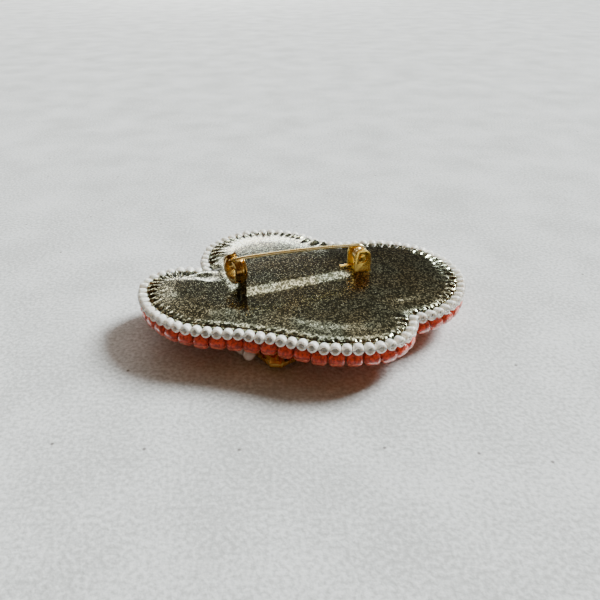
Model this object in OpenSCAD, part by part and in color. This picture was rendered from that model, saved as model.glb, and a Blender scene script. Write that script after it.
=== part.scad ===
// Beaded brooch, lying on its jewelled front with the leather back and its bar pin upward.
// Millimetres, Z up. The table is Z = 0 and the origin is under the middle of the beaded edge.

/* [Layers, from the back to the table] */
// Thickness of the leather back
leather_t = 0.8; // [0.7:0.05:1]
// Thickness of the felt that the beads are sewn to
felt_t = 1.1; // [0.9:0.02:1.2]
// Diameter of the glass beads of the face
bead_d = 2.02; // [1.9:0.02:2.2]
// How far the stone's table stands out from the beaded face
stone_rise = 2.93; // [2.7:0.01:3.2]
// Air between pieces that are only sewn together
gap = 0.05; // [0.03:0.01:0.07]

/* [White beaded edge] */
// Diameter of an edge bead, up and down
edge_d = 1.5; // [1.4:0.02:1.54]
// Length of an edge bead, outward from the leather
edge_len = 1.3; // [1.1:0.05:1.4]
// Depth of the edge beads' middles under the leather's face
edge_drop = 1.22; // [1.18:0.01:1.23]

/* [Bar pin] */
// Where the catch's stem stands, left and right
pin_x = -9.8; // [-10.4:0.1:-9.2]
// Where the catch stands, toward the front and the back
pin_y = -3.7; // [-4.3:0.1:-3.1]
// Turn of the pin on the back, in degrees
pin_turn = 20; // [16:1:24]
// From the catch's stem to the rivet
pin_len = 20.1; // [19:0.1:21]
// Width of the base bar under the leather
bar_w = 4.2; // [4.1:0.1:4.6]
// Thickness of the base bar and of what is folded up from it
bar_t = 0.6; // [0.5:0.05:0.65]
// Radius of the wire
wire_r = 0.29; // [0.24:0.01:0.32]
// Height of the catch's middle over the leather
catch_z = 3.6; // [3.5:0.05:3.8]
// Outer radius of the fixed catch, inside the lock
catch_r = 1.84; // [1.8:0.02:1.9]
// Length of the catch
catch_len = 1.7; // [1.6:0.05:2]
// Turn of the catch away from square to the wire, in degrees
catch_turn = 15; // [8:1:18]
// Height of the rivet over the leather
rivet_z = 2.35; // [2.2:0.05:2.45]
// Running clearance of the lock and of the wire's eye
run = 0.08; // [0.05:0.01:0.1]

/* [Stone and pearls on the front] */
// Middle of the stone, left and right
stone_x = -1.3; // [-1.8:0.1:-0.8]
// Middle of the stone, toward the front and the back
stone_y = -4.3; // [-4.7:0.1:-3.9]
// Turn of the stone's long side, in degrees
stone_turn = 38.5; // [34:0.5:43]
// Length of the setting at its rim
rim_l = 20; // [19:0.1:20.6]
// Width of the setting at its rim
rim_w = 16; // [15:0.1:16.6]
// Cut corner of the setting, measured along a side
rim_cut = 1.2; // [1.1:0.1:1.6]
// Diameter of a pearl
pearl_d = 1.8; // [1.6:0.1:2.2]

/* [Outline of the leather] */
// Lobes, anticlockwise: centre x, centre y, radius, radius of the blend to the next lobe. A blend
// is negative where the edge swells outward between two lobes.
lobes = [
  [3.80, -11.37, 6.5, -25],
  [8.40, -10.87, 6.8, 1.6],
  [12.70, 1.23, 12.0, 9],
  [-6.50, 8.13, 9.8, 1.6],
  [-19.60, -2.37, 5.1, -13],
  [-13.00, -6.17, 7.6, 60]
];

/* [Hidden] */
$fn = 48;
X = 0;
Y = 1;
RADIUS = 2;
BLEND = 3;
// The caps of the soft solids fan out from here, where every stretch of the edge can be seen.
hub = [-5, -5.5];
// Length of one straight of the outline
seg = 1.3;

rows_z = stone_rise + gap;
rows_top = rows_z + bead_d;
felt_z = rows_top + gap;
leather_z = felt_z + felt_t + gap;
back_h = leather_z + leather_t;
edge_z = back_h - edge_drop;
edge_out = 0.12;
row_out = 0.35;
// Leather over the bar, and the air round the bar
welt_h = bar_t + gap + 0.02;
bar_end = 1.7;

lock_in = catch_r + run;
lock_out = lock_in + 0.33;
catch_in = catch_r - 0.34;
// Angles round the catch, from the back of the brooch (0) over the top (90) to the front (180)
slot_from = 65;
slot_to = 115;
lock_from = 233;
lock_sweep = 189;
// Lever of the lock: a rim at the end nearer the rivet, open over the slot
lever_w = 0.25;
lever_from = 128;
lever_sweep = 294;
lever_r = 2.4;
// Ribs of the fixed catch on its front: where each starts along it, its width, its radius
ribs = [[0.02, 0.26, 2.4], [-catch_len / 2, catch_len / 2 + 0.1, 2.1]];
rib_from = 128;
rib_sweep = 96;
catch_x = -0.75;
stem_x = -0.1;
stem_w = 0.5;
stem_y = -1.45;
ear_r = 1.42;
bore_r = 0.88;
ear_y = 1.05;
ear_t = 0.45;
rivet_r = 0.5;

// Neck and bow of the wire
neck = 0.8;
neck_bend = 1.3;
wire_end_z = 4.15;
wire_tip_z = 5.1;
wire_bow = 0.3;
wire_tip = -1.7;

// Outline: lobe circles joined by tangent blends
function lobe(i) = lobes[(i + len(lobes)) % len(lobes)];

// Middle of the blend after lobe i, on the outer side if it is hollow and the inner side if it swells
function blend_middle(i) =
  let (
    a = lobe(i),
    b = lobe(i + 1),
    reach_a = abs(a[RADIUS] + a[BLEND]),
    reach_b = abs(b[RADIUS] + a[BLEND]),
    far = norm([b[X] - a[X], b[Y] - a[Y]]),
    dir = [b[X] - a[X], b[Y] - a[Y]] / far,
    along = (reach_a * reach_a - reach_b * reach_b + far * far) / (2 * far),
    aside = sign(a[BLEND]) * sqrt(reach_a * reach_a - along * along)
  )
  [a[X] + dir[X] * along + dir[Y] * aside, a[Y] + dir[Y] * along - dir[X] * aside];

function heading(from, to) = atan2(to[Y] - from[Y], to[X] - from[X]);
function turn_to(a, b) = (b - a + 720) % 360;

// Each arc: middle, radius, what an offset outward adds to the radius, first angle, sweep
function lobe_arc(i) =
  let (
    c = lobe(i),
    before = blend_middle(i - 1 + len(lobes)),
    after = blend_middle(i),
    a0 = heading(c, before) + (lobe(i - 1)[BLEND] < 0 ? 180 : 0),
    a1 = heading(c, after) + (c[BLEND] < 0 ? 180 : 0)
  )
  [[c[X], c[Y]], c[RADIUS], 1, a0, turn_to(a0, a1)];

function blend_arc(i) =
  let (
    m = blend_middle(i),
    grow = lobe(i)[BLEND] > 0 ? -1 : 1,
    a0 = heading(m, lobe(i)),
    a1 = heading(m, lobe(i + 1)),
    sweep = grow > 0 ? turn_to(a0, a1) : turn_to(a0, a1) - 360
  )
  [m, abs(lobe(i)[BLEND]), grow, a0, sweep];

arcs = [for (i = [0 : len(lobes) - 1]) each [lobe_arc(i), blend_arc(i)]];

function arc_steps(arc) = max(2, ceil(abs(arc[4]) * PI / 180 * arc[1] / seg));

function outline(out) = [
  for (arc = arcs)
    let (r = arc[1] + arc[2] * out, n = arc_steps(arc))
      for (k = [0 : n - 1])
        let (a = arc[3] + arc[4] * k / n)
          [arc[0][X] + r * cos(a), arc[0][Y] + r * sin(a)]
];

round_n = len(outline(0));

// A soft layer from rows of [offset from the leather's edge, height], the lowest row first
module layer(rows) {
  n = round_n;
  m = len(rows);
  points = concat(
    [for (row = rows) each [for (p = outline(row[0])) [p[X], p[Y], row[1]]]],
    [[hub[X], hub[Y], rows[0][1]], [hub[X], hub[Y], rows[m - 1][1]]]
  );
  faces = concat(
    [for (j = [0 : m - 2]) for (i = [0 : n - 1])
      [j * n + i, (j + 1) * n + i, (j + 1) * n + (i + 1) % n, j * n + (i + 1) % n]],
    [for (i = [0 : n - 1]) [m * n, i, (i + 1) % n]],
    [for (i = [0 : n - 1]) [m * n + 1, (m - 1) * n + (i + 1) % n, (m - 1) * n + i]]
  );
  polyhedron(points, faces, convexity = 6);
}

// A closed band round the edge from its section, anticlockwise as [offset, height]
module band(section) {
  n = round_n;
  m = len(section);
  points = [for (s = section) each [for (p = outline(s[0])) [p[X], p[Y], s[1]]]];
  faces = [for (j = [0 : m - 1]) for (i = [0 : n - 1])
    [j * n + i, ((j + 1) % m) * n + i, ((j + 1) % m) * n + (i + 1) % n, j * n + (i + 1) % n]];
  polyhedron(points, faces, convexity = 6);
}

// Leather, pulled down a little at the edge by the stitches and raised over the pin's bar
module leather_back() {
  color("#6f6d60") difference() {
    union() {
      layer([
        [-0.25, leather_z],
        [0, leather_z + 0.2],
        [0, leather_z + 0.45],
        [-0.35, back_h - 0.12],
        [-1.2, back_h]
      ]);
      on_pin() welt();
    }
    on_pin() translate([-bar_end - gap, -bar_w / 2 - gap, -leather_t - 1])
      cube([pin_len + 2 * bar_end + 2 * gap, bar_w + 2 * gap, 1 + bar_t + gap]);
    on_catch() translate([stem_x - 0.3, stem_y - 0.6, -1]) cube([stem_w + 0.6, 0.7, 3]);
    on_pin() for (side = [-1, 1])
      translate([pin_len - ear_r - 0.1, side * (ear_y + ear_t / 2) - ear_t / 2 - 0.2, -1])
        cube([2 * ear_r + 0.2, ear_t + 0.4, 3]);
  }
}

// The bulge of the leather over the bar, long slopes all round it
module welt() {
  hull() {
    welt_slice(3.2, -0.3);
    welt_slice(1.7, 0.5 * welt_h);
    welt_slice(0.5, welt_h);
  }
}

module welt_slice(out, z) {
  translate([0, 0, z - 0.02]) linear_extrude(0.02) hull()
    for (x = [-bar_end + 0.6, pin_len + bar_end - 0.6], y = [-1, 1])
      translate([x, y * (bar_w / 2 - 0.6)]) circle(r = 0.6 + out, $fn = 20);
}

module felt_base() {
  color("#8a2c1c") layer([[-0.35, felt_z], [-0.35, felt_z + felt_t]]);
}

// The sewn rows of glass beads as one closed solid, round along its outer row
module bead_rows() {
  r = bead_d / 2;
  mid = rows_z + r;
  color("#c8391b") layer([
    for (a = [-90 : 30 : 90])
      [row_out + r * cos(a), mid + r * sin(a)]
  ]);
}

// The string of white beads that edges the leather, as one band
module edge_beads() {
  h = edge_d / 2;
  c = 0.3;
  color("#f0efe9") band([
    [edge_out, edge_z - h + c],
    [edge_out + c, edge_z - h],
    [edge_out + edge_len - c, edge_z - h],
    [edge_out + edge_len, edge_z - h + c],
    [edge_out + edge_len, edge_z + h - c],
    [edge_out + edge_len - c, edge_z + h],
    [edge_out + c, edge_z + h],
    [edge_out, edge_z + h - c]
  ]);
}

// Bar pin: X runs from the catch to the rivet, Z up from the leather's face
module on_pin() {
  translate([pin_x, pin_y, back_h]) rotate([0, 0, pin_turn]) children();
}

// The catch stands a little askew to the wire
module on_catch() {
  on_pin() translate([catch_x, 0, 0]) rotate([0, 0, catch_turn]) children();
}

// Draws in the plane across the wire: first number toward the back, second upward
module across_pin(x, length) {
  translate([x, 0, 0]) rotate([90, 0, 90]) linear_extrude(length) children();
}

function wedge(from, sweep, r) = concat([[0, 0]], [for (k = [0 : 6])
  [r * cos(from + sweep * k / 6), r * sin(from + sweep * k / 6)]]);

// One pressed piece: the bar under the leather, two ears with their rivet, stem and open catch
module pin_base() {
  color("#d9a53a") {
    on_pin() bar_and_ears();
    on_catch() stem_and_catch();
  }
}

module bar_and_ears() {
  face = ear_y + ear_t;
  translate([-bar_end, -bar_w / 2, -leather_t]) cube([pin_len + 2 * bar_end, bar_w, bar_t]);
  difference() {
    for (side = [-1, 1])
      translate([pin_len, side * (ear_y + ear_t / 2) + ear_t / 2, 0]) rotate([90, 0, 0])
        linear_extrude(ear_t) {
          translate([0, rivet_z]) circle(r = ear_r);
          translate([-ear_r, -leather_t + 0.1]) square([2 * ear_r, rivet_z + leather_t - 0.1]);
        }
    for (side = [-1, 1])
      translate([pin_len, side * (face - 0.25), rivet_z]) rotate([side * -90, 0, 0])
        cylinder(h = 1, r = bore_r);
  }
  translate([pin_len, face - 0.06, rivet_z]) rotate([90, 0, 0])
    cylinder(h = 2 * (face - 0.06), r = rivet_r);
  // Tongue at the foot of the front ear
  translate([pin_len - 3.3, -0.3, welt_h + 0.04]) cube([2.5, 0.6, 0.14]);
  translate([pin_len - 1.3, -ear_y - 0.1, welt_h + 0.04]) cube([0.5, ear_y + 0.2, 0.14]);
}

module stem_and_catch() {
  translate([stem_x, stem_y - 0.45, -leather_t + 0.1])
    cube([stem_w, 0.45, catch_z - 0.6 + leather_t - 0.1]);
  across_pin(-catch_len / 2, catch_len) translate([0, catch_z]) difference() {
    circle(r = catch_r);
    circle(r = catch_in);
    polygon(wedge(slot_from, slot_to - slot_from, 4));
  }
  for (rib = ribs)
    across_pin(rib[0], rib[1]) translate([0, catch_z])
      arc_strip(catch_r - 0.1, rib[2], rib_from, rib_sweep);
}

module arc_strip(inner, outer, from, sweep) {
  difference() {
    circle(r = outer);
    circle(r = inner);
    polygon(wedge(from + sweep, 360 - sweep, 4));
  }
}

// The turning lock round the catch, with its lever rim
module lock_sleeve() {
  body = catch_len - lever_w;
  color("#cf9a33") on_catch() {
    across_pin(-catch_len / 2, body) translate([0, catch_z])
      arc_strip(lock_in, lock_out, lock_from, lock_sweep);
    across_pin(body - catch_len / 2, lever_w) translate([0, catch_z])
      arc_strip(lock_in, lever_r, lever_from, lever_sweep);
  }
}

// Middle line of the wire, [along, up], from its point to the eye
bow_steps = 12;
wire_line = concat(
  [for (k = [0 : bow_steps])
    let (t = k / bow_steps, x = wire_tip + (pin_len + neck - neck_bend - wire_tip) * t)
      [x, wire_tip_z + (wire_end_z - wire_tip_z) * t + 4 * wire_bow * t * (1 - t)]],
  [for (a = [72 : -18 : 18])
    [pin_len + neck - neck_bend + neck_bend * cos(a), wire_end_z - neck_bend + neck_bend * sin(a)]],
  [[pin_len + neck, wire_end_z - neck_bend - 0.1], [pin_len + neck, rivet_z]]
);

function wire_way(k) =
  let (
    last = len(wire_line) - 1,
    v = wire_line[min(k + 1, last)] - wire_line[max(k - 1, 0)]
  )
  v / norm(v);

function wire_size(k) = k == 0 ? 0.25 * wire_r : k == 1 ? 0.8 * wire_r : wire_r;

// The sprung wire with its bow and neck, and the eye that turns on the rivet
module pin_wire() {
  sides = 8;
  n = len(wire_line);
  points = [for (k = [0 : n - 1]) for (s = [0 : sides - 1])
    let (
      way = wire_way(k),
      r = wire_size(k),
      a = 360 * s / sides,
      p = wire_line[k]
    )
      [p[0] - way[1] * r * cos(a), -r * sin(a), p[1] + way[0] * r * cos(a)]];
  faces = concat(
    [for (k = [0 : n - 2]) for (s = [0 : sides - 1])
      [k * sides + s, (k + 1) * sides + s, (k + 1) * sides + (s + 1) % sides,
        k * sides + (s + 1) % sides]],
    [[for (s = [0 : sides - 1]) s]],
    [[for (s = [sides - 1 : -1 : 0]) (n - 1) * sides + s]]
  );
  color("#e0b04a") on_pin() difference() {
    union() {
      polyhedron(points, faces, convexity = 4);
      translate([pin_len, ear_y - 0.12, rivet_z]) rotate([90, 0, 0])
        cylinder(h = 2 * ear_y - 0.24, r = neck + wire_r);
    }
    translate([pin_len, 2, rivet_z]) rotate([90, 0, 0]) cylinder(h = 4, r = rivet_r + run);
  }
}

// Front: a cut stone in an open setting, pearls at its two ends
module on_stone() {
  translate([stone_x, stone_y, 0]) rotate([0, 0, stone_turn]) children();
}

// A rectangle with cut corners, anticlockwise
function octagon(l, w, c) = [
  [l / 2, c - w / 2], [l / 2, w / 2 - c], [l / 2 - c, w / 2], [c - l / 2, w / 2],
  [-l / 2, w / 2 - c], [-l / 2, c - w / 2], [c - l / 2, -w / 2], [l / 2 - c, -w / 2]
];

// Stacked octagons from rows of [inset from the rim's size, height], the lowest row first
module cut_block(rows) {
  m = len(rows);
  points = [for (row = rows)
    each [for (p = octagon(rim_l - 2 * row[0], rim_w - 2 * row[0], rim_cut - 0.25 * row[0]))
      [p[X], p[Y], row[1]]]];
  faces = concat(
    [for (j = [0 : m - 2]) for (i = [0 : 7])
      [j * 8 + i, (j + 1) * 8 + i, (j + 1) * 8 + (i + 1) % 8, j * 8 + (i + 1) % 8]],
    [[for (i = [0 : 7]) i]],
    [[for (i = [7 : -1 : 0]) (m - 1) * 8 + i]]
  );
  polyhedron(points, faces, convexity = 2);
}

rim_low = 0.75;
rim_top = 1.35;
base_in = 1.35;
claw_w = 1.7;
strap_w = 1.8;
pearl_shift = 1.85;
pearl_gap = 0.65;
window_l = 7.3;
window_w = 10.2;
window_h = stone_rise - rim_top - 0.4;
// Slope of the stone's lower facets at a cut corner, and of the claw folded under them
claw_slope = 23.1;
claw_t = 0.28;

module stone_setting() {
  wall = 0.42;
  color("#d4a848") on_stone() {
    difference() {
      cut_block([[0.1, rim_low], [0, rim_low + 0.15], [0, rim_top], [base_in, stone_rise]]);
      cut_block([[wall, rim_low - 1], [wall, rim_top], [base_in + wall, stone_rise + 0.01]]);
      // Windows in the sides, which leave straps between them
      for (x = [-window_l - strap_w / 2, strap_w / 2])
        translate([x, -rim_w, rim_top + 0.05]) cube([window_l, 2 * rim_w, window_h]);
      translate([-rim_l, -window_w / 2, rim_top + 0.05]) cube([2 * rim_l, window_w, window_h]);
    }
    for (sx = [-1, 1], sy = [-1, 1])
      translate([sx * (rim_l - rim_cut) / 2, sy * (rim_w - rim_cut) / 2, 0])
        rotate([0, 0, atan2(sy, sx)]) {
          translate([-0.35, -claw_w / 2, 0.95]) cube([0.5, claw_w, rim_top - 0.8]);
          translate([0, -claw_w / 2, 1.39]) rotate([0, -claw_slope, 0])
            translate([-1.65, 0, -claw_t]) cube([1.65, claw_w, claw_t]);
        }
  }
}

module stone() {
  fit = 0.47;
  color("#f2d9c8") on_stone() cut_block([
    [fit + 2.6, 0],
    [fit + 1.1, 0.62],
    [fit, 1.2],
    [fit, 1.35],
    [fit + 0.9, 2.05],
    [fit + 2.4, 2.75]
  ]);
}

// Pearl k of the three at one end of the stone, end = -1 or 1
module pearl(end, k) {
  across = end * pearl_shift + k * (pearl_d + 0.2);
  color("#efe6da") on_stone()
    translate([end * (rim_l / 2 + pearl_d / 2 + pearl_gap), across, stone_rise - pearl_d / 2])
      sphere(d = pearl_d);
}

module pearl_1() { pearl(-1, -1); }
module pearl_2() { pearl(-1, 0); }
module pearl_3() { pearl(-1, 1); }
module pearl_4() { pearl(1, -1); }
module pearl_5() { pearl(1, 0); }
module pearl_6() { pearl(1, 1); }

leather_back();
felt_base();
bead_rows();
edge_beads();
pin_base();
pin_wire();
lock_sleeve();
stone_setting();
stone();
pearl_1();
pearl_2();
pearl_3();
pearl_4();
pearl_5();
pearl_6();
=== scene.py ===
"""Beaded brooch lying on its jewelled front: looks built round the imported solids.

Sizes and places are in millimetres, Z up from the table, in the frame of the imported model, and MM
turns them into Blender's metres. The textures, the table, the lights and the camera are in metres.
"""
import math
import random

import bmesh
import bpy
from mathutils import Matrix, Vector


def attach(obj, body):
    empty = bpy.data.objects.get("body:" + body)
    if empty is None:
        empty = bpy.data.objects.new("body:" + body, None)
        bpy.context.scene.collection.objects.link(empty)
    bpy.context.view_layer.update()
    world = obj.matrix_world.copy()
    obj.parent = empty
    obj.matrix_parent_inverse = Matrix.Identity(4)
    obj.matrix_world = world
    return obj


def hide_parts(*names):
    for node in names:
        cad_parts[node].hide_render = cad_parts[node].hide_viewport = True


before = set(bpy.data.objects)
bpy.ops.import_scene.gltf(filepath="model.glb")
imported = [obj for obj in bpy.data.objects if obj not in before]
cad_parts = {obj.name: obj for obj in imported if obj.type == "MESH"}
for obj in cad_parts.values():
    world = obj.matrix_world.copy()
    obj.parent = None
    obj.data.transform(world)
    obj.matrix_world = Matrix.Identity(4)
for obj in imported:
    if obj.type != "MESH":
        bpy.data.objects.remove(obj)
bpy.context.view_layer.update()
MM = 0.001
random.seed(7)


# Outline of the brooch.
# The maker cuts the felt and the leather to one paper pattern: lobe circles joined by blends. Every
# bead and stitch is set out along this edge.
LOBES = [  # centre x, centre y, radius, radius of the blend to the next lobe (negative: swelling)
    (3.80, -11.37, 6.5, -25.0),
    (8.40, -10.87, 6.8, 1.6),
    (12.70, 1.23, 12.0, 9.0),
    (-6.50, 8.13, 9.8, 1.6),
    (-19.60, -2.37, 5.1, -13.0),
    (-13.00, -6.17, 7.6, 60.0),
]
HUB = (-5.0, -5.5)  # the rows of every sheet meet here
STRING_OUT = 0.77  # the edge is measured along the string of white beads, outside the leather


def blend_centre(i):
    x1, y1, r1, blend = LOBES[i % len(LOBES)]
    x2, y2, r2, _ = LOBES[(i + 1) % len(LOBES)]
    far = math.hypot(x2 - x1, y2 - y1)
    ux, uy = (x2 - x1) / far, (y2 - y1) / far
    reach1, reach2 = abs(r1 + blend), abs(r2 + blend)
    along = (reach1**2 - reach2**2 + far**2) / (2 * far)
    aside = math.copysign(math.sqrt(reach1**2 - along**2), blend)
    return x1 + ux * along + uy * aside, y1 + uy * along - ux * aside


def heading(a, b):
    return math.atan2(b[1] - a[1], b[0] - a[0])


def pattern_arcs():
    """Each arc: middle, radius, what an offset outward adds to the radius, first angle, sweep."""
    arcs = []
    turn = 2 * math.pi
    for i, (x, y, r, blend) in enumerate(LOBES):
        before, after = blend_centre(i - 1), blend_centre(i)
        a0 = heading((x, y), before) + (math.pi if LOBES[i - 1][3] < 0 else 0)
        a1 = heading((x, y), after) + (math.pi if blend < 0 else 0)
        arcs.append(((x, y), r, 1, a0, (a1 - a0) % turn))
        b0 = heading(after, (x, y))
        b1 = heading(after, LOBES[(i + 1) % len(LOBES)])
        grow = -1 if blend > 0 else 1
        arcs.append((after, abs(blend), grow, b0, (b1 - b0) % turn - (0 if grow > 0 else turn)))
    return arcs


ARCS = pattern_arcs()
LENGTHS = [abs(arc[4]) * (arc[1] + arc[2] * STRING_OUT) for arc in ARCS]
ROUND = sum(LENGTHS)


def edge_at(s, out):
    """Point of the edge at fraction s of the way round, moved outward, and the outward direction."""
    left = (s % 1.0) * ROUND
    for arc, length in zip(ARCS, LENGTHS):
        if left <= length:
            break
        left -= length
    (cx, cy), r, grow, a0, sweep = arc
    a = a0 + sweep * min(1.0, left / length)
    reach = r + grow * out
    outward_x, outward_y = grow * math.cos(a), grow * math.sin(a)
    return cx + reach * math.cos(a), cy + reach * math.sin(a), outward_x, outward_y


# Leather back.
# One piece of thin metallic leather, sewn down all round by the beaded edging. Each stitch dents its
# edge, and the bar of the pin underneath lifts it in a long low welt.
BEADS_ROUND, BEAD_PITCH = 93, 1.5
LEATHER_Z, LEATHER_FOOT = 7.0, 6.2
PILLOW_H, PILLOW_IN = 0.28, 6.0
PIN_X, PIN_Y, PIN_TURN, PIN_LEN = -9.8, -3.7, math.radians(20), 20.1
BAR_END, BAR_W, BAR_RISE = 1.7, 4.2, 0.64
PAST_BAR = (0.2, 0.7)  # the underside comes down from the bar between these distances past it
WELT_H = 0.5
WELT_FADES = [  # left, right, front and back of the pin's zero: where it starts to fade, over how much
    (-0.2, 2.5),
    (PIN_LEN - 3.2, 4.8),
    (0.3, 3.2),
    (8.0, 10.6),
]
GROOVE_W = 0.28
PULL_FRONT, PULL_BACK = 0.10, 0.52
PER_BEAD = 8
FAN = 44
EDGE_ROWS = [  # how far in from the edge, how far under the pillow of the leather
    (0.08, 0.84),
    (0.00, 0.74),
    (-0.04, 0.60),
    (-0.04, 0.48),
    (-0.01, 0.37),
    (0.03, 0.27),
    (0.12, 0.195),
    (0.28, 0.145),
    (0.45, 0.10),
    (0.65, 0.055),
    (0.95, 0.015),
    (1.25, 0.0),
    (1.65, 0.0),
    (2.20, 0.0),
    (3.00, 0.0),
]
FAN_IN, UNDER_IN = EDGE_ROWS[-1][0], 0.15
UNDER_ROWS = [1.0, 0.75, 0.5, 0.3, 0.15, 0.06, 0.0]  # the way back under it, from the hub to the edge


def ease(t):
    t = max(0.0, min(1.0, t))
    return t * t * (3 - 2 * t)


def on_pin(x, y):
    """From plan to the pin's own measures: along its bar and across it."""
    dx, dy = x - PIN_X, y - PIN_Y
    c, s = math.cos(PIN_TURN), math.sin(PIN_TURN)
    return dx * c + dy * s, dy * c - dx * s


def from_pin(u, v):
    """From the pin's own measures back to plan."""
    c, s = math.cos(PIN_TURN), math.sin(PIN_TURN)
    return PIN_X + u * c - v * s, PIN_Y + u * s + v * c


def to_hub(x, y, t):
    """A point on the way from the edge to the hub, where all rows of the sheet meet."""
    return x + (HUB[0] - x) * t, y + (HUB[1] - y) * t


def welt(x, y):
    """Bulge over the bar: it falls off at both ends and to the front, and slowly far behind."""
    u, v = on_pin(x, y)
    fades = [max(0.0, far - start) / over for far, (start, over) in zip((-u, u, -v, v), WELT_FADES)]
    left, right, front, behind = fades
    return WELT_H * ease(1 - math.hypot(max(left, right), front)) * max(0.0, 1 - behind**1.6)


PULLS = [random.uniform(0.7, 1.15) for _ in range(BEADS_ROUND)]
GROOVE_LENGTHS = [random.uniform(1.7, 2.9) for _ in range(BEADS_ROUND)]
CRUMPLES = [random.uniform(-0.13, 0.13) for _ in range(BEADS_ROUND * PER_BEAD)]


def stitch_groove(s, inward):
    """Place across the groove of the nearest stitch, 1 at its bottom, and the pull of that stitch."""
    place = s * BEADS_ROUND
    k = round(place)
    off = abs(place - k) * BEAD_PITCH
    k %= BEADS_ROUND
    to_back = ease(0.8 + 0.7 * edge_at(s, 0)[3])
    reach = GROOVE_LENGTHS[k] * (0.35 + 0.65 * to_back)
    fade = max(0.0, 1 - (inward / reach) ** 2)
    pull = PULLS[k] * (PULL_FRONT + (PULL_BACK - PULL_FRONT) * to_back)
    return math.exp(-((off / GROOVE_W) ** 2)), fade * pull


def stitch_dent(s, inward):
    """Depth that the stitches pull into the leather: a groove for each bead, shallow at the front."""
    groove, pull = stitch_groove(s, inward)
    crumple = CRUMPLES[round(s * BEADS_ROUND * PER_BEAD) % len(CRUMPLES)]
    return pull * (groove - 0.35) + crumple * max(0.0, 1 - abs(inward - 0.1) / 0.45)


def groove_shade_and_wear(s, j):
    """Painted shade in the grooves and a painted highlight on the ridges between them, with foil worn
    off in the grooves.
    """
    if j >= len(EDGE_ROWS):
        return 0.0
    groove, pull = stitch_groove(s, EDGE_ROWS[j][0])
    return (groove - 0.4) * min(1.0, 3.5 * pull)


def leather_top(x, y, s, inward, drop):
    pillow = PILLOW_H * (1 - ease(inward / PILLOW_IN))
    return LEATHER_Z + welt(x, y) - drop - pillow - stitch_dent(s, inward)


def leather_foot(x, y):
    """Height of the underside: it lies on the felt, and on the bar where the pin is."""
    u, v = on_pin(x, y)
    past = max(-BAR_END - u, u - PIN_LEN - BAR_END, abs(v) - BAR_W / 2)
    lift = (PAST_BAR[1] - past) / (PAST_BAR[1] - PAST_BAR[0])
    return LEATHER_FOOT + BAR_RISE * min(1.0, max(0.0, lift))


def leather_point(s, j):
    """The rows run up over the edge, in to the hub, and back out underneath."""
    top = len(EDGE_ROWS) + FAN
    if j < len(EDGE_ROWS):
        inward, drop = EDGE_ROWS[j]
        x, y, nx, ny = edge_at(s, -inward)
        bulge = 0.3 * stitch_dent(s, 0.3) * max(0.0, 1 - inward)
        x, y = x - nx * bulge, y - ny * bulge
        return x, y, leather_top(x, y, s, inward, drop)
    if j < top:
        x, y, _, _ = edge_at(s, -FAN_IN)
        t = (j - len(EDGE_ROWS) + 1) / FAN
        inward = FAN_IN + math.hypot(HUB[0] - x, HUB[1] - y) * t
        x, y = to_hub(x, y, t)
        return x, y, leather_top(x, y, s, inward, 0.0)
    k = UNDER_ROWS[j - top]
    x, y, _, _ = edge_at(s, -UNDER_IN - (FAN_IN - UNDER_IN) * min(1.0, 4 * k))
    x, y = to_hub(x, y, max(0.0, (k - 0.25) / 0.75))
    return x, y, leather_foot(x, y)


def only(obj):
    """Selects one object and nothing else."""
    bpy.ops.object.select_all(action="DESELECT")
    obj.select_set(True)
    bpy.context.view_layer.objects.active = obj


def fold_grid(name, around, rings, place, wear=None):
    """A grid sheet bent into a closed ring: place(s, j) gives the point of column s and ring j.

    wear(s, j) gives a number for the attribute of that name, which the material can read."""
    bpy.ops.object.select_all(action="DESELECT")
    bpy.ops.mesh.primitive_grid_add(x_subdivisions=around, y_subdivisions=rings - 1, size=2)
    sheet = bpy.context.object
    sheet.name = sheet.data.name = name
    worn = sheet.data.attributes.new("wear", "FLOAT", "POINT") if wear else None
    for v in sheet.data.vertices:
        s = round((v.co.x + 1) / 2 * around) % around / around
        j = round((v.co.y + 1) / 2 * (rings - 1))
        v.co = Vector(place(s, j)) * MM
        if wear:
            worn.data[v.index].value = wear(s, j)
    bpy.ops.object.mode_set(mode="EDIT")
    bpy.ops.mesh.select_all(action="SELECT")
    bpy.ops.mesh.remove_doubles(threshold=1e-7)
    bpy.ops.mesh.normals_make_consistent(inside=False)
    bpy.ops.object.mode_set(mode="OBJECT")
    bpy.ops.object.shade_smooth()
    return sheet


rows = len(EDGE_ROWS) + FAN + len(UNDER_ROWS)
leather = fold_grid("leather_shell", BEADS_ROUND * PER_BEAD, rows, leather_point, groove_shade_and_wear)


def box_cutter(x, y, turn, size, low, high):
    """A plain block for cutting a slit, standing at a place in plan."""
    bpy.ops.object.select_all(action="DESELECT")
    bpy.ops.mesh.primitive_cube_add(
        size=1, location=(x * MM, y * MM, (low + high) / 2 * MM), rotation=(0, 0, turn)
    )
    block = bpy.context.object
    block.scale = (size[0] * MM, size[1] * MM, (high - low) * MM)
    bpy.ops.object.transform_apply(location=True, rotation=True, scale=True)
    return block


CATCH_X, CATCH_TURN = -0.75, math.radians(15)
STEM_U, STEM_V = 0.15, -1.7
EAR_Y, EAR_T, SLIT_GAP = 1.05, 0.45, 0.05
STEM_SLIT, EAR_SLIT = (1.1, 0.75), (3.1, 0.8)
CUT_LOW, CUT_HIGH = 6.0, 9.0

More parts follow.
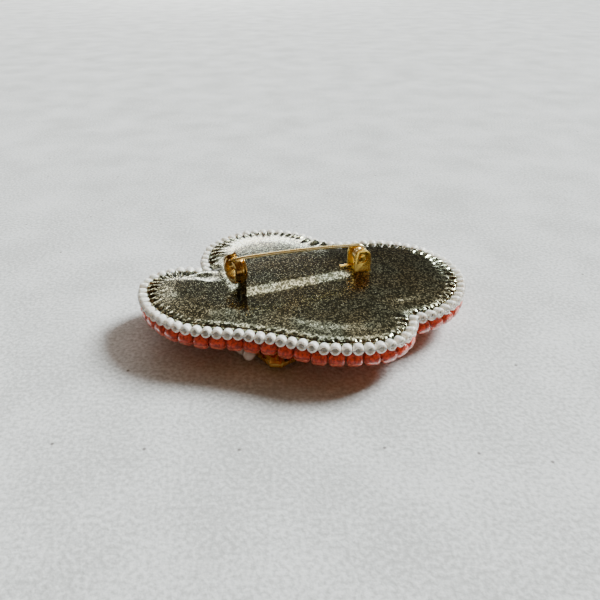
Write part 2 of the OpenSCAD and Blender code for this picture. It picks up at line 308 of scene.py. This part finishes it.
c, s = math.cos(CATCH_TURN), math.sin(CATCH_TURN)
stem = from_pin(CATCH_X + STEM_U * c - STEM_V * s, STEM_U * s + STEM_V * c)
slits = [(stem, PIN_TURN + CATCH_TURN, STEM_SLIT)]
for side in (-1, 1):
    ear = from_pin(PIN_LEN, side * (EAR_Y + EAR_T / 2 + SLIT_GAP))
    slits.append((ear, PIN_TURN, EAR_SLIT))
for place, turn, size in slits:
    cutter = box_cutter(*place, turn, size, CUT_LOW, CUT_HIGH)
    only(leather)
    cut = leather.modifiers.new("slit", "BOOLEAN")
    cut.operation, cut.object, cut.solver = "DIFFERENCE", cutter, "EXACT"
    bpy.ops.object.modifier_apply(modifier=cut.name)
    bpy.data.objects.remove(cutter)
only(leather)
bpy.ops.object.shade_smooth_by_angle(angle=math.radians(50))


def adder(tree):
    """A short way to add a node to a tree: its inputs are values, or outputs that feed them."""

    def add(kind, inputs=None, **settings):
        node = tree.nodes.new(kind)
        for key, value in settings.items():
            setattr(node, key, value)
        for key, value in (inputs or {}).items():
            if isinstance(value, bpy.types.NodeSocket):
                tree.links.new(value, node.inputs[key])
            else:
                node.inputs[key].default_value = value
        return node

    return add


def nodes_of(name):
    """A new material with its shader and short ways to add and to link nodes."""
    material = bpy.data.materials.new(name)
    material.use_nodes = True
    tree = material.node_tree
    return material, tree.nodes["Principled BSDF"], adder(tree), tree.links.new


def ramp(add, value, stops):
    """A row of colours along a value: each stop is its place and its colour."""
    node = add("ShaderNodeValToRGB", {"Fac": value})
    elements = node.color_ramp.elements
    for _ in stops[2:]:
        elements.new(0.5)
    for element, (at, rgb) in zip(elements, stops):
        element.position = at
        element.color = (*rgb, 1)
    return node.outputs["Color"]


def times(add, colour, factor):
    """A colour multiplied by another colour or by a number."""
    both = {"Factor": 1.0, "A": colour, "B": factor}
    return add("ShaderNodeMix", both, data_type="RGBA", blend_type="MULTIPLY").outputs["Result"]


def dress(obj, material, body="brooch"):
    obj.data.materials.clear()
    obj.data.materials.append(material)
    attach(obj, body)


def leather_material():
    """Pewter foil over a fine pebbled grain: painted glints bright on some pebbles, painted shade dark
    in the creases between them.
    """
    material, shader, add, link = nodes_of("pewter_foil_leather")
    place = add("ShaderNodeTexCoord").outputs["Object"]
    bent = add("ShaderNodeTexNoise", {"Vector": place, "Scale": 700.0, "Detail": 2.0})
    fine = add("ShaderNodeTexNoise", {"Vector": place, "Scale": 3600.0, "Detail": 2.0})
    broad = add("ShaderNodeTexNoise", {"Vector": place, "Scale": 160.0, "Detail": 2.0})
    cells = {"Vector": place, "Scale": 4000.0, "Randomness": 1.0}
    grain = add("ShaderNodeTexVoronoi", cells, feature="DISTANCE_TO_EDGE")
    each = add("ShaderNodeTexVoronoi", cells)
    pebble = add(
        "ShaderNodeMapRange",
        {"Value": grain.outputs["Distance"], "From Max": 0.14},
        interpolation_type="SMOOTHSTEP",
    )
    fleck = add(
        "ShaderNodeMapRange",
        {"Value": each.outputs["Color"], "From Min": 0.33, "From Max": 0.8},
        interpolation_type="SMOOTHSTEP",
    )
    glints_and_crease_shade = add(
        "ShaderNodeMath", {0: fleck.outputs["Result"], 1: pebble.outputs["Result"]}, operation="MULTIPLY"
    )
    # The foil colour carries painted glints on the chosen pebbles and painted shade in the creases
    # between pebbles.
    foil = ramp(add, glints_and_crease_shade.outputs[0], [(0.0, (0.09, 0.09, 0.06)), (1.0, (0.80, 0.80, 0.65))])
    tint = ramp(add, broad.outputs["Fac"], [(0.4, (1.0, 0.94, 0.76)), (0.6, (0.92, 1.0, 0.92))])
    # Painted shade darkens the stitch grooves and a painted highlight brightens the ridges between them,
    # on top of foil worn off in the grooves.
    wear = add("ShaderNodeAttribute", attribute_name="wear")
    groove_shading_range = {"Value": wear.outputs["Fac"], "From Min": -0.35, "From Max": 0.5}
    groove_shade_factor = add("ShaderNodeMapRange", {**groove_shading_range, "To Min": 1.35, "To Max": 0.12})
    link(times(add, times(add, foil, tint), groove_shade_factor.outputs["Result"]), shader.inputs["Base Color"])
    relief = [  # height, and how deep it is
        (bent.outputs["Fac"], 0.00001),
        (pebble.outputs["Result"], 0.000002),
        (fine.outputs["Fac"], 0.000003),
    ]
    bump = add("ShaderNodeBump", {"Height": relief[0][0], "Strength": 1.0, "Distance": relief[0][1]})
    for height, depth in relief[1:]:
        below = {"Height": height, "Strength": 1.0, "Distance": depth, "Normal": bump.outputs["Normal"]}
        bump = add("ShaderNodeBump", below)
    link(bump.outputs["Normal"], shader.inputs["Normal"])
    shader.inputs["Metallic"].default_value = 1.0
    shader.inputs["Roughness"].default_value = 0.155
    return material


dress(leather, leather_material())
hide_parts("leather_back")


# Felt base.
# The stiff red-brown felt that every bead is sewn to. It shows only as a dark line between the white
# edge and the first row of glass.
FELT_IN, FELT_LOW, FELT_HIGH, FELT_LIP = 0.35, 5.05, 6.15, 0.2
FELT_ROWS = [  # way from the edge to the hub, height
    (1.0, FELT_LOW),
    (0.0, FELT_LOW),
    (0.0, FELT_LOW + FELT_LIP),
    (0.0, FELT_HIGH - FELT_LIP),
    (0.0, FELT_HIGH),
    (1.0, FELT_HIGH),
]


def felt_point(s, j):
    t, z = FELT_ROWS[j]
    x, y, _, _ = edge_at(s, -FELT_IN)
    return (*to_hub(x, y, t), z)


felt = fold_grid("felt_sheet", 240, len(FELT_ROWS), felt_point)
only(felt)
bpy.ops.object.shade_smooth_by_angle(angle=math.radians(40))
material, shader, add, link = nodes_of("red_brown_felt")
place = add("ShaderNodeTexCoord").outputs["Object"]
fibre = add("ShaderNodeTexNoise", {"Vector": place, "Scale": 2500.0, "Detail": 5.0})
tone = ramp(add, fibre.outputs["Fac"], [(0.0, (0.10, 0.015, 0.008)), (1.0, (0.36, 0.06, 0.03))])
nap = add("ShaderNodeBump", {"Height": fibre.outputs["Fac"], "Strength": 0.6, "Distance": 0.0001})
link(tone, shader.inputs["Base Color"])
link(nap.outputs["Normal"], shader.inputs["Normal"])
shader.inputs["Roughness"].default_value = 0.95
dress(felt, material)
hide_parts("felt_base")


# Glass beads of the face.
# Drawn orange-red glass tube cut to short lengths and tumbled, strung along the edge in the outer row
# and sewn in rows over the rest of the face. Each is a barrel with a straight bore.
GLASS_D, GLASS_LEN, GLASS_BORE, GLASS_Z = 2.02, 2.3, 0.75, 3.99
INNER_LEN = GLASS_LEN - 0.24
OUTER_BEADS, OUTER_START = 58, 0.35
ROW_OUT, ROW_STEP, GLASS_PITCH = 0.35, 2.06, 2.2
STRAIGHT_Y = -1.0  # the middle one of the straight rows


def pick_parts(obj, kind, test):
    """Selects the faces or edges of the mesh being edited that pass a test."""
    bpy.ops.mesh.select_mode(type=kind)
    bpy.ops.mesh.select_all(action="DESELECT")
    bm = bmesh.from_edit_mesh(obj.data)
    for part in bm.faces if kind == "FACE" else bm.edges:
        if test(part):
            part.select_set(True)
    bmesh.update_edit_mesh(obj.data)


def level_edge(edge, inner, outer):
    """Whether an edge lies level, with both its ends between two distances from the bore's line."""
    a, b = edge.verts
    far = [math.hypot(v.co.x, v.co.y) / MM for v in (a, b)]
    return abs(a.co.z - b.co.z) < 1e-7 and inner < min(far) and max(far) < outer


def turned_bead(name, d, bore, length, rounding, sides, steps=3):
    """A bead from a cylinder: ends inset, the bore bridged through, rims rounded."""
    bpy.ops.object.select_all(action="DESELECT")
    bpy.ops.mesh.primitive_cylinder_add(vertices=sides, radius=d / 2 * MM, depth=length * MM)
    bead = bpy.context.object
    bead.name = bead.data.name = name
    bpy.ops.object.mode_set(mode="EDIT")
    pick_parts(bead, "FACE", lambda face: abs(face.normal.z) > 0.9)
    bpy.ops.mesh.inset(thickness=(d - bore) / 2 * MM)
    bpy.ops.mesh.bridge_edge_loops()
    pick_parts(bead, "EDGE", lambda edge: level_edge(edge, d / 2 - 0.02, d))
    bpy.ops.mesh.bevel(offset=rounding * MM, segments=steps, profile=0.5, affect="EDGES")
    pick_parts(bead, "EDGE", lambda edge: level_edge(edge, 0.0, bore / 2 + 0.02))
    bpy.ops.mesh.bevel(offset=0.07 * MM, segments=1, affect="EDGES")
    bpy.ops.mesh.select_all(action="SELECT")
    bpy.ops.mesh.normals_make_consistent(inside=False)
    bpy.ops.object.mode_set(mode="OBJECT")
    bpy.ops.object.shade_smooth()
    return bead


def lay_axis(x, y, z, ax, ay, az=0.0, grow=(1, 1, 1)):
    """Where a copy goes: its axis along the given direction, in plan measures."""
    axis = Vector((ax, ay, az)).normalized()
    side = axis.cross(Vector((0, 0, 1))).normalized()
    up = side.cross(axis)
    turn = Matrix((side, up, axis)).transposed().to_4x4()
    return Matrix.Translation(Vector((x, y, z)) * MM) @ turn @ Matrix.Diagonal((*grow, 1))


def string_up(name, model, places):
    """Joins copies of the model, one at each place with its own mesh, and removes the model."""
    copies = []
    for place in places:
        mesh = model.data.copy()
        mesh.transform(place)
        copy = bpy.data.objects.new(name, mesh)
        bpy.context.scene.collection.objects.link(copy)
        copies.append(copy)
    bpy.data.objects.remove(model)
    bpy.ops.object.select_all(action="DESELECT")
    for copy in copies:
        copy.select_set(True)
    bpy.context.view_layer.objects.active = copies[0]
    bpy.ops.object.join()
    whole = bpy.context.object
    whole.name = whole.data.name = name
    return whole


def wobble(amount):
    return random.uniform(-amount, amount)


outer_row = []
for k in range(OUTER_BEADS):
    x, y, nx, ny = edge_at((k + OUTER_START) / OUTER_BEADS, ROW_OUT)
    swell = 1 + wobble(0.035)
    outer_row.append(
        lay_axis(
            x, y, GLASS_Z + wobble(0.05),
            -ny + wobble(0.06), nx + wobble(0.06), wobble(0.05),
            (swell, swell, 1 + wobble(0.05)),
        )
    )
glass_bead = turned_bead("glass_bead", GLASS_D, GLASS_BORE, GLASS_LEN, 0.6, 20, 4)
row_glass = string_up("glass_row_outer", glass_bead, outer_row)


def trace(out, steps):
    """Points spaced evenly round the edge, moved outward."""
    return [edge_at(k / steps, out) for k in range(steps)]


EDGE_TRACE = trace(0.0, 480)


def inside_by(x, y):
    """How far inside the outline a point of the plan is, negative outside."""
    near = min(EDGE_TRACE, key=lambda e: (e[0] - x) ** 2 + (e[1] - y) ** 2)
    return (near[0] - x) * near[2] + (near[1] - y) * near[3]


inner_places = []
for ring in (1, 2):
    out = ROW_OUT - ROW_STEP * ring
    walk = trace(out, 2400)
    gone = GLASS_PITCH
    for (x, y, nx, ny), (x2, y2, _, _) in zip(walk, walk[1:] + walk[:1]):
        gone += math.hypot(x2 - x, y2 - y)
        if gone >= GLASS_PITCH and inside_by(x, y) > -out - 0.1:
            inner_places.append(lay_axis(x, y, GLASS_Z, -ny, nx))
            gone = 0.0
clear_of_rings = 3 * ROW_STEP - ROW_OUT - 0.15
for row in range(-9, 10):
    y = STRAIGHT_Y + row * ROW_STEP
    for column in range(-12, 13):
        x = (column + 0.5 * (row % 2)) * GLASS_PITCH
        if inside_by(x, y) > clear_of_rings:
            inner_places.append(lay_axis(x, y, GLASS_Z, 1, 0))
plain_bead = turned_bead("glass_bead_inner", GLASS_D, GLASS_BORE, INNER_LEN, 0.42, 12, 2)
face_glass = string_up("glass_rows_face", plain_bead, inner_places)

# The bands paint light and shade by height: a painted highlight along the low edge, and a painted light
# line along the bore with painted shade either side of it.
GLASS_PAINTED_BANDS = [  # height up the bead, colour: painted low highlight, red body, painted bore line
    (0.05, (0.95, 0.34, 0.22)),
    (0.16, (0.90, 0.13, 0.065)),
    (0.30, (0.58, 0.040, 0.018)),
    (0.37, (1.00, 0.30, 0.17)),
    (0.45, (0.50, 0.032, 0.015)),
    (0.70, (0.86, 0.10, 0.045)),
]
material, shader, add, link = nodes_of("orange_red_glass")
place = add("ShaderNodeTexCoord").outputs["Object"]
streak = add("ShaderNodeTexNoise", {"Vector": place, "Scale": 900.0, "Detail": 2.0})
murk = add("ShaderNodeTexNoise", {"Vector": place, "Scale": 2400.0, "Detail": 2.0})
level = add("ShaderNodeSeparateXYZ", {"Vector": place}).outputs["Z"]
height = add("ShaderNodeMapRange", {"Value": level, "From Min": 0.0029, "From Max": 0.0051})
sway = add("ShaderNodeMath", {0: streak.outputs["Fac"], 1: 0.24, 2: -0.12}, operation="MULTIPLY_ADD")
band = add("ShaderNodeMath", {0: height.outputs["Result"], 1: sway.outputs[0]}, operation="ADD")
murky = {"Value": murk.outputs["Fac"], "From Min": 0.38, "From Max": 0.62}
clouds = add("ShaderNodeMapRange", {**murky, "To Min": 0.55, "To Max": 1.3})
tone = ramp(add, band.outputs[0], GLASS_PAINTED_BANDS)
ripple = add("ShaderNodeBump", {"Height": streak.outputs["Fac"], "Strength": 0.2, "Distance": 0.0001})
link(times(add, tone, clouds.outputs["Result"]), shader.inputs["Base Color"])
link(ripple.outputs["Normal"], shader.inputs["Normal"])
shader.inputs["Roughness"].default_value = 0.28
shader.inputs["IOR"].default_value = 1.34
shader.inputs["Transmission Weight"].default_value = 0.3
dress(row_glass, material)
dress(face_glass, material)
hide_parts("bead_rows")


# White beaded edge.
# Opaque white seed beads stand round the edge with their bores outward, one to each stitch. The
# stitch runs out through a bead and back under the next.
WHITE_D, WHITE_LEN, WHITE_BORE = 1.5, 1.3, 0.82
WHITE_Z, WHITE_TILT = 5.95, 0.17

bead_seats = [edge_at(k / BEADS_ROUND, STRING_OUT + wobble(0.04)) for k in range(BEADS_ROUND)]
white_places = [
    lay_axis(
        x, y, WHITE_Z + wobble(0.05),
        nx + wobble(0.1), ny + wobble(0.1), WHITE_TILT + wobble(0.1),
        (1 + wobble(0.03), 1 + wobble(0.03), 1 + wobble(0.07)),
    )
    for x, y, nx, ny in bead_seats
]
white_bead = turned_bead("white_bead", WHITE_D, WHITE_BORE, WHITE_LEN, 0.27, 20)
white_edge = string_up("white_bead_edge", white_bead, white_places)

material, shader, add, link = nodes_of("white_opaque_glass")
place = add("ShaderNodeTexCoord").outputs["Object"]
cloud = add("ShaderNodeTexNoise", {"Vector": place, "Scale": 700.0, "Detail": 2.0})
tone = ramp(add, cloud.outputs["Fac"], [(0.0, (0.88, 0.81, 0.69)), (1.0, (1.0, 0.93, 0.81))])
skin = add("ShaderNodeBump", {"Height": cloud.outputs["Fac"], "Strength": 0.15, "Distance": 0.00005})
link(tone, shader.inputs["Base Color"])
link(skin.outputs["Normal"], shader.inputs["Normal"])
shader.inputs["Roughness"].default_value = 0.38
shader.inputs["Subsurface Weight"].default_value = 0.6
shader.inputs["Subsurface Radius"].default_value = (0.0011, 0.0009, 0.0008)
shader.inputs["Subsurface Scale"].default_value = 1.0
dress(white_edge, material)
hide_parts("edge_beads")


# Sewing thread.
# Fine clear nylon, pulled out of sight into the leather. It passes several times through each white
# bead, which fills the bore, and lies across the outside from one bead to the next.
THREAD_R = 0.06
THREAD_IN = 0.25  # where it comes out of the leather, in from the edge
THREAD_END = WHITE_LEN / 2 + 0.06  # how far out of a bead's middle it turns
THREAD_FILL = 0.5 * THREAD_END  # how far out its several passes fill the bore


def run_strand(name, runs, radius, rounding):
    """A round strand along each run of points, each with its thickness in strands, as one mesh."""
    curve = bpy.data.curves.new(name, "CURVE")
    curve.dimensions = "3D"
    curve.bevel_depth = radius * MM
    curve.bevel_resolution = rounding
    curve.use_fill_caps = True
    for run in runs:
        spline = curve.splines.new("POLY")
        spline.points.add(len(run) - 1)
        for point, (x, y, z, thickness) in zip(spline.points, run):
            point.co = (x * MM, y * MM, z * MM, 1)
            point.radius = thickness
    strand = bpy.data.objects.new(name, curve)
    bpy.context.scene.collection.objects.link(strand)
    only(strand)
    bpy.ops.object.convert(target="MESH")
    bpy.ops.object.shade_smooth()
    return bpy.context.object


def out_of_bead(seat, out, thickness):
    """A point on a bead's bore line, this far out of its middle."""
    x, y, nx, ny = seat
    return x + nx * out, y + ny * out, WHITE_Z + WHITE_TILT * out, thickness


stitches = []
for k, seat in enumerate(bead_seats):
    next_seat = bead_seats[(k + 1) % BEADS_ROUND]
    root_x, root_y, _, _ = edge_at(k / BEADS_ROUND, -THREAD_IN)
    here, there = out_of_bead(seat, THREAD_END, 1), out_of_bead(next_seat, THREAD_END, 1)
    between = ((here[0] + there[0]) / 2, (here[1] + there[1]) / 2, here[2], 1)
    stitches.append([
        (root_x, root_y, WHITE_Z - WHITE_TILT * THREAD_END / 2, 4.5),
        out_of_bead(seat, 0.0, 4.8),
        out_of_bead(seat, THREAD_FILL, 4.2),
        out_of_bead(seat, THREAD_FILL * 1.2, 1),
        here,
        between,
        there,
        out_of_bead(next_seat, THREAD_FILL, 1),
    ])
thread = run_strand("edge_stitches", stitches, THREAD_R, 1)

material, shader, add, link = nodes_of("clear_nylon")
place = add("ShaderNodeTexCoord").outputs["Object"]
twist = add("ShaderNodeTexNoise", {"Vector": place, "Scale": 3000.0})
# The grey of the nylon is darker than clear thread: painted shade for the bead bores it fills.
tone = ramp(add, twist.outputs["Fac"], [(0.0, (0.42, 0.41, 0.38)), (1.0, (0.66, 0.65, 0.62))])
link(tone, shader.inputs["Base Color"])
shader.inputs["Roughness"].default_value = 0.3
shader.inputs["Transmission Weight"].default_value = 0.15
dress(thread, material)


# Bar pin: base.
# Pressed gold-tone strip: the bar lies under the leather, and the two ears with their rivet and the
# stem with its open catch stand out through slits. The catch and its stem are coloured a darker brown
# gold.
CATCH_TO = -7.8  # the catch and its stem lie to the left of this


def softened(name, node, width, steps=2):
    """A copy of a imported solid, merged, with its sharp edges rounded as plating rounds them."""
    solid = bpy.data.objects.new(name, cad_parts[node].data.copy())
    bpy.context.scene.collection.objects.link(solid)
    only(solid)
    bpy.ops.object.mode_set(mode="EDIT")
    bpy.ops.mesh.select_all(action="SELECT")
    bpy.ops.mesh.remove_doubles(threshold=2e-6)
    bpy.ops.mesh.dissolve_limited(angle_limit=math.radians(1.0))
    bpy.ops.object.mode_set(mode="OBJECT")
    rounding = solid.modifiers.new("rounding", "BEVEL")
    rounding.width, rounding.segments = width * MM, steps
    rounding.limit_method, rounding.angle_limit = "ANGLE", math.radians(40)
    bpy.ops.object.modifier_apply(modifier=rounding.name)
    bpy.ops.object.shade_smooth_by_angle(angle=math.radians(35))
    return solid


def gold_plate(name, dark, light, matt):
    """Thin yellow gold-tone plating, a little worn and uneven in its shine."""
    material, shader, add, link = nodes_of(name)
    place = add("ShaderNodeTexCoord").outputs["Object"]
    wear = add("ShaderNodeTexNoise", {"Vector": place, "Scale": 900.0, "Detail": 4.0}).outputs["Fac"]
    shine = add("ShaderNodeMapRange", {"Value": wear, "To Min": matt[0], "To Max": matt[1]})
    skin = add("ShaderNodeBump", {"Height": wear, "Strength": 0.15, "Distance": 0.00005})
    link(ramp(add, wear, [(0.35, dark), (0.62, light)]), shader.inputs["Base Color"])
    link(shine.outputs["Result"], shader.inputs["Roughness"])
    link(skin.outputs["Normal"], shader.inputs["Normal"])
    shader.inputs["Metallic"].default_value = 1.0
    return material


gold = gold_plate("gold_tone_plate", (0.92, 0.55, 0.08), (1.0, 0.76, 0.20), (0.20, 0.34))
brown_gold = gold_plate("gold_tone_dark_brown", (0.18, 0.08, 0.02), (0.70, 0.46, 0.13), (0.18, 0.28))
pin_frame = softened("pin_pressing", "pin_base", 0.06)
dress(pin_frame, gold)
pin_frame.data.materials.append(brown_gold)
for face in pin_frame.data.polygons:
    if face.center.x < CATCH_TO * MM:
        face.material_index = 1
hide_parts("pin_base")


# Bar pin: wire.
# Hard sprung wire, ground to a point, bowed up from the rivet and lying in the catch. Its other end
# is wound round the rivet between the ears.
WIRE_R, WIRE_TIP, WIRE_TIP_Z, WIRE_END_Z, WIRE_BOW = 0.29, -1.7, 5.1, 4.15, 0.3
NECK, NECK_BEND = 0.8, 1.3
COIL_R, COIL_TURNS, COIL_STEPS, RIVET_Z = 0.8, 2.15, 20, 2.35
STRAIGHT_STEPS = 32

bend_u, bend_z = PIN_LEN + NECK - NECK_BEND, WIRE_END_Z - NECK_BEND
wire_line = []  # along the pin, across it, up from the leather
for k in range(STRAIGHT_STEPS + 1):
    t = k / STRAIGHT_STEPS
    rise = WIRE_TIP_Z + (WIRE_END_Z - WIRE_TIP_Z) * t + 4 * WIRE_BOW * t * (1 - t)
    wire_line.append((WIRE_TIP + (bend_u - WIRE_TIP) * t, 0.0, rise))
for degrees in range(78, 11, -11):
    c, s = math.cos(math.radians(degrees)), math.sin(math.radians(degrees))
    wire_line.append((bend_u + NECK_BEND * c, -0.1 - 0.3 * c, bend_z + NECK_BEND * s))
for k in range(int(COIL_TURNS * COIL_STEPS)):
    a = -2 * math.pi * k / COIL_STEPS
    across = -0.6 + 0.6 * k / COIL_STEPS
    wire_line.append((PIN_LEN + COIL_R * math.cos(a), across, RIVET_Z + COIL_R * math.sin(a)))
wire_run = []
for k, (u, v, z) in enumerate(wire_line):
    wire_run.append((*from_pin(u, v), LEATHER_Z + z, min(1.0, 0.12 + 0.3 * k)))
wire = run_strand("pin_wire_wound", [wire_run], WIRE_R, 4)
drawn_gold = gold_plate("gold_tone_wire", (0.98, 0.74, 0.28), (1.0, 0.87, 0.50), (0.2, 0.28))
dress(wire, drawn_gold, "wire")
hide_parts("pin_wire")


# Bar pin: lock.
# A rolled strip that turns round the catch and closes over the wire, with a raised rim to push.
# It is coloured the same darker brown gold as the catch.
lock = softened("pin_lock_roll", "lock_sleeve", 0.06)
dress(lock, brown_gold, "lock")
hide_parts("lock_sleeve")


# Setting on the front.
# A flared open basket of thin gold-tone sheet with four folded claws, soldered in one piece. Only a
# corner of it and one claw show below the front edge.
setting = softened("stone_basket", "stone_setting", 0.05)
dress(setting, gold)
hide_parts("stone_setting")


# Cut stone.
# Clear faceted glass with a slight warm tint, held face down in the basket by the claws. The brooch
# lies on its table.
stone = softened("cut_stone", "stone", 0.08)
bpy.ops.object.shade_flat()
material, shader, add, link = nodes_of("cut_clear_glass")
place = add("ShaderNodeTexCoord").outputs["Object"]
depth = add("ShaderNodeTexNoise", {"Vector": place, "Scale": 120.0})
tone = ramp(add, depth.outputs["Fac"], [(0.0, (0.88, 0.72, 0.62)), (1.0, (0.96, 0.86, 0.78))])
link(tone, shader.inputs["Base Color"])
shader.inputs["Roughness"].default_value = 0.03
shader.inputs["Transmission Weight"].default_value = 0.85
shader.inputs["IOR"].default_value = 1.54
dress(stone, material)
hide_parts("stone")


# Pearls.
# Small round pearls sewn in threes at the two ends of the setting, with a soft warm lustre. The
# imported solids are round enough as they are.
material, shader, add, link = nodes_of("pearl_lustre")
place = add("ShaderNodeTexCoord").outputs["Object"]
layers = add("ShaderNodeTexNoise", {"Vector": place, "Scale": 350.0, "Detail": 3.0})
# The pearl colour is darkened to a warm grey-brown: painted shade.
tone = ramp(add, layers.outputs["Fac"], [(0.0, (0.50, 0.41, 0.35)), (1.0, (0.66, 0.58, 0.51))])
link(tone, shader.inputs["Base Color"])
shader.inputs["Roughness"].default_value = 0.22
shader.inputs["Coat Weight"].default_value = 0.6
shader.inputs["Coat Roughness"].default_value = 0.1
shader.inputs["Subsurface Weight"].default_value = 0.3
shader.inputs["Subsurface Radius"].default_value = (0.0008, 0.0006, 0.0005)
shader.inputs["Subsurface Scale"].default_value = 1.0
for k in range(1, 7):
    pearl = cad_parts[f"pearl_{k}"]
    pearl.data.materials.clear()
    pearl.data.materials.append(material)
    only(pearl)
    bpy.ops.object.shade_smooth()


# Table, light and camera.
# A pale paper-covered table in soft window light from the back right, seen from the front and above
# at the angle of the photograph. Small panes behind give the leather its bright welt and back lobe.
PAPER_SIZE, PAPER_BACK = 6, 1.5
AIM = Vector((0, 0, 0.005))
EYE, EYE_TILT = (-0.0006, -0.08497, 0.0536), math.radians(59)
FRONT_GLOW = (0.16, 0.088, 0.045)
BACK_GLOW = [  # how high in the room, how bright
    (0.0, 0.1),
    (0.2, 0.1),
    (0.45, 0.12),
    (0.54, 0.26),
    (0.7, 0.26),
    (0.9, 0.2),
]

bpy.ops.object.select_all(action="DESELECT")
bpy.ops.mesh.primitive_plane_add(size=PAPER_SIZE, location=(0, PAPER_BACK, 0))
table = bpy.context.object
table.name = "paper_table"
bpy.ops.object.transform_apply(location=True)
material, shader, add, link = nodes_of("pale_paper")
place = add("ShaderNodeTexCoord").outputs["Object"]
mottle = add("ShaderNodeTexNoise", {"Vector": place, "Scale": 70.0, "Detail": 3.0}).outputs["Fac"]
grain = add("ShaderNodeTexNoise", {"Vector": place, "Scale": 1800.0, "Detail": 3.0}).outputs["Fac"]
both = add("ShaderNodeMix", {"Factor": 0.35, "A": grain, "B": mottle}, data_type="FLOAT")
tone = ramp(add, both.outputs["Result"], [(0.4, (0.52, 0.52, 0.50)), (0.6, (0.78, 0.78, 0.76))])
husk = add("ShaderNodeTexVoronoi", {"Vector": place, "Scale": 70.0}, voronoi_dimensions="2D")
away = husk.outputs["Distance"]
near = add(
    "ShaderNodeMapRange",
    {"Value": away, "From Min": 0.009, "From Max": 0.022, "To Min": 0.75, "To Max": 0.0},
)
chosen = add("ShaderNodeMath", {0: husk.outputs["Color"], 1: 0.55}, operation="GREATER_THAN")
speck = add("ShaderNodeMath", {0: near.outputs["Result"], 1: chosen.outputs[0]}, operation="MULTIPLY")
specked = {"Factor": speck.outputs[0], "A": tone, "B": (0.10, 0.08, 0.07, 1)}
paper = add("ShaderNodeMix", specked, data_type="RGBA")
pulp = add("ShaderNodeBump", {"Height": grain, "Strength": 0.5, "Distance": 0.0002})
link(paper.outputs["Result"], shader.inputs["Base Color"])
link(pulp.outputs["Normal"], shader.inputs["Normal"])
shader.inputs["Roughness"].default_value = 0.9
shader.inputs["Specular IOR Level"].default_value = 0.1
table.data.materials.append(material)

world = bpy.data.worlds.new("soft_room")
bpy.context.scene.world = world
world.use_nodes = True
add = adder(world.node_tree)
aim = add("ShaderNodeTexCoord").outputs["Generated"]
toward = add("ShaderNodeSeparateXYZ", {"Vector": aim})
behind = add(
    "ShaderNodeMapRange",
    {"Value": toward.outputs["Y"], "From Min": -0.1, "From Max": 0.3},
    interpolation_type="SMOOTHSTEP",
)
warm = [(at, (level, level * 0.88, level * 0.70)) for at, level in BACK_GLOW]
back = ramp(add, toward.outputs["Z"], warm)
glow = {"Factor": behind.outputs["Result"], "A": (*FRONT_GLOW, 1), "B": back}
whole = add("ShaderNodeMix", glow, data_type="RGBA")
sky = world.node_tree.nodes["Background"]
world.node_tree.links.new(whole.outputs["Result"], sky.inputs["Color"])


def softbox(name, azimuth, elevation, far, size, power, colour=(1, 1, 1)):
    """A flat soft light aimed at the brooch. Azimuth: to the right of straight behind, in degrees."""
    data = bpy.data.lights.new(name, "AREA")
    data.shape = "RECTANGLE"
    data.size, data.size_y = size
    data.energy = power
    data.color = colour
    light = bpy.data.objects.new(name, data)
    bpy.context.scene.collection.objects.link(light)
    a, e = math.radians(azimuth), math.radians(elevation)
    level = far * math.cos(e)
    light.location = (level * math.sin(a), level * math.cos(a), far * math.sin(e))
    light.rotation_euler = (AIM - light.location).to_track_quat("-Z", "Y").to_euler()


softbox("window", 53, 37, 20.0, (6.8, 6.8), 11600, (0.92, 1.0, 1.03))
softbox("low_pane", -7, 12.8, 0.8, (0.24, 0.175), 1.25)
softbox("high_pane", 6, 53, 0.8, (0.5, 0.15), 0.72)
softbox("left_pane", -27, 27, 0.8, (0.14, 0.14), 0.42)
softbox("left_window", -52, 38, 20.0, (6.4, 6.4), 208)

eye = bpy.data.cameras.new("view")
eye.lens, eye.sensor_width = 36.0, 36.0
eye.clip_start, eye.clip_end = 0.005, 20.0
camera = bpy.data.objects.new("view", eye)
bpy.context.scene.collection.objects.link(camera)
camera.location = EYE
camera.rotation_euler = (EYE_TILT, 0, 0)
bpy.context.scene.camera = camera

bpy.context.view_layer.update()
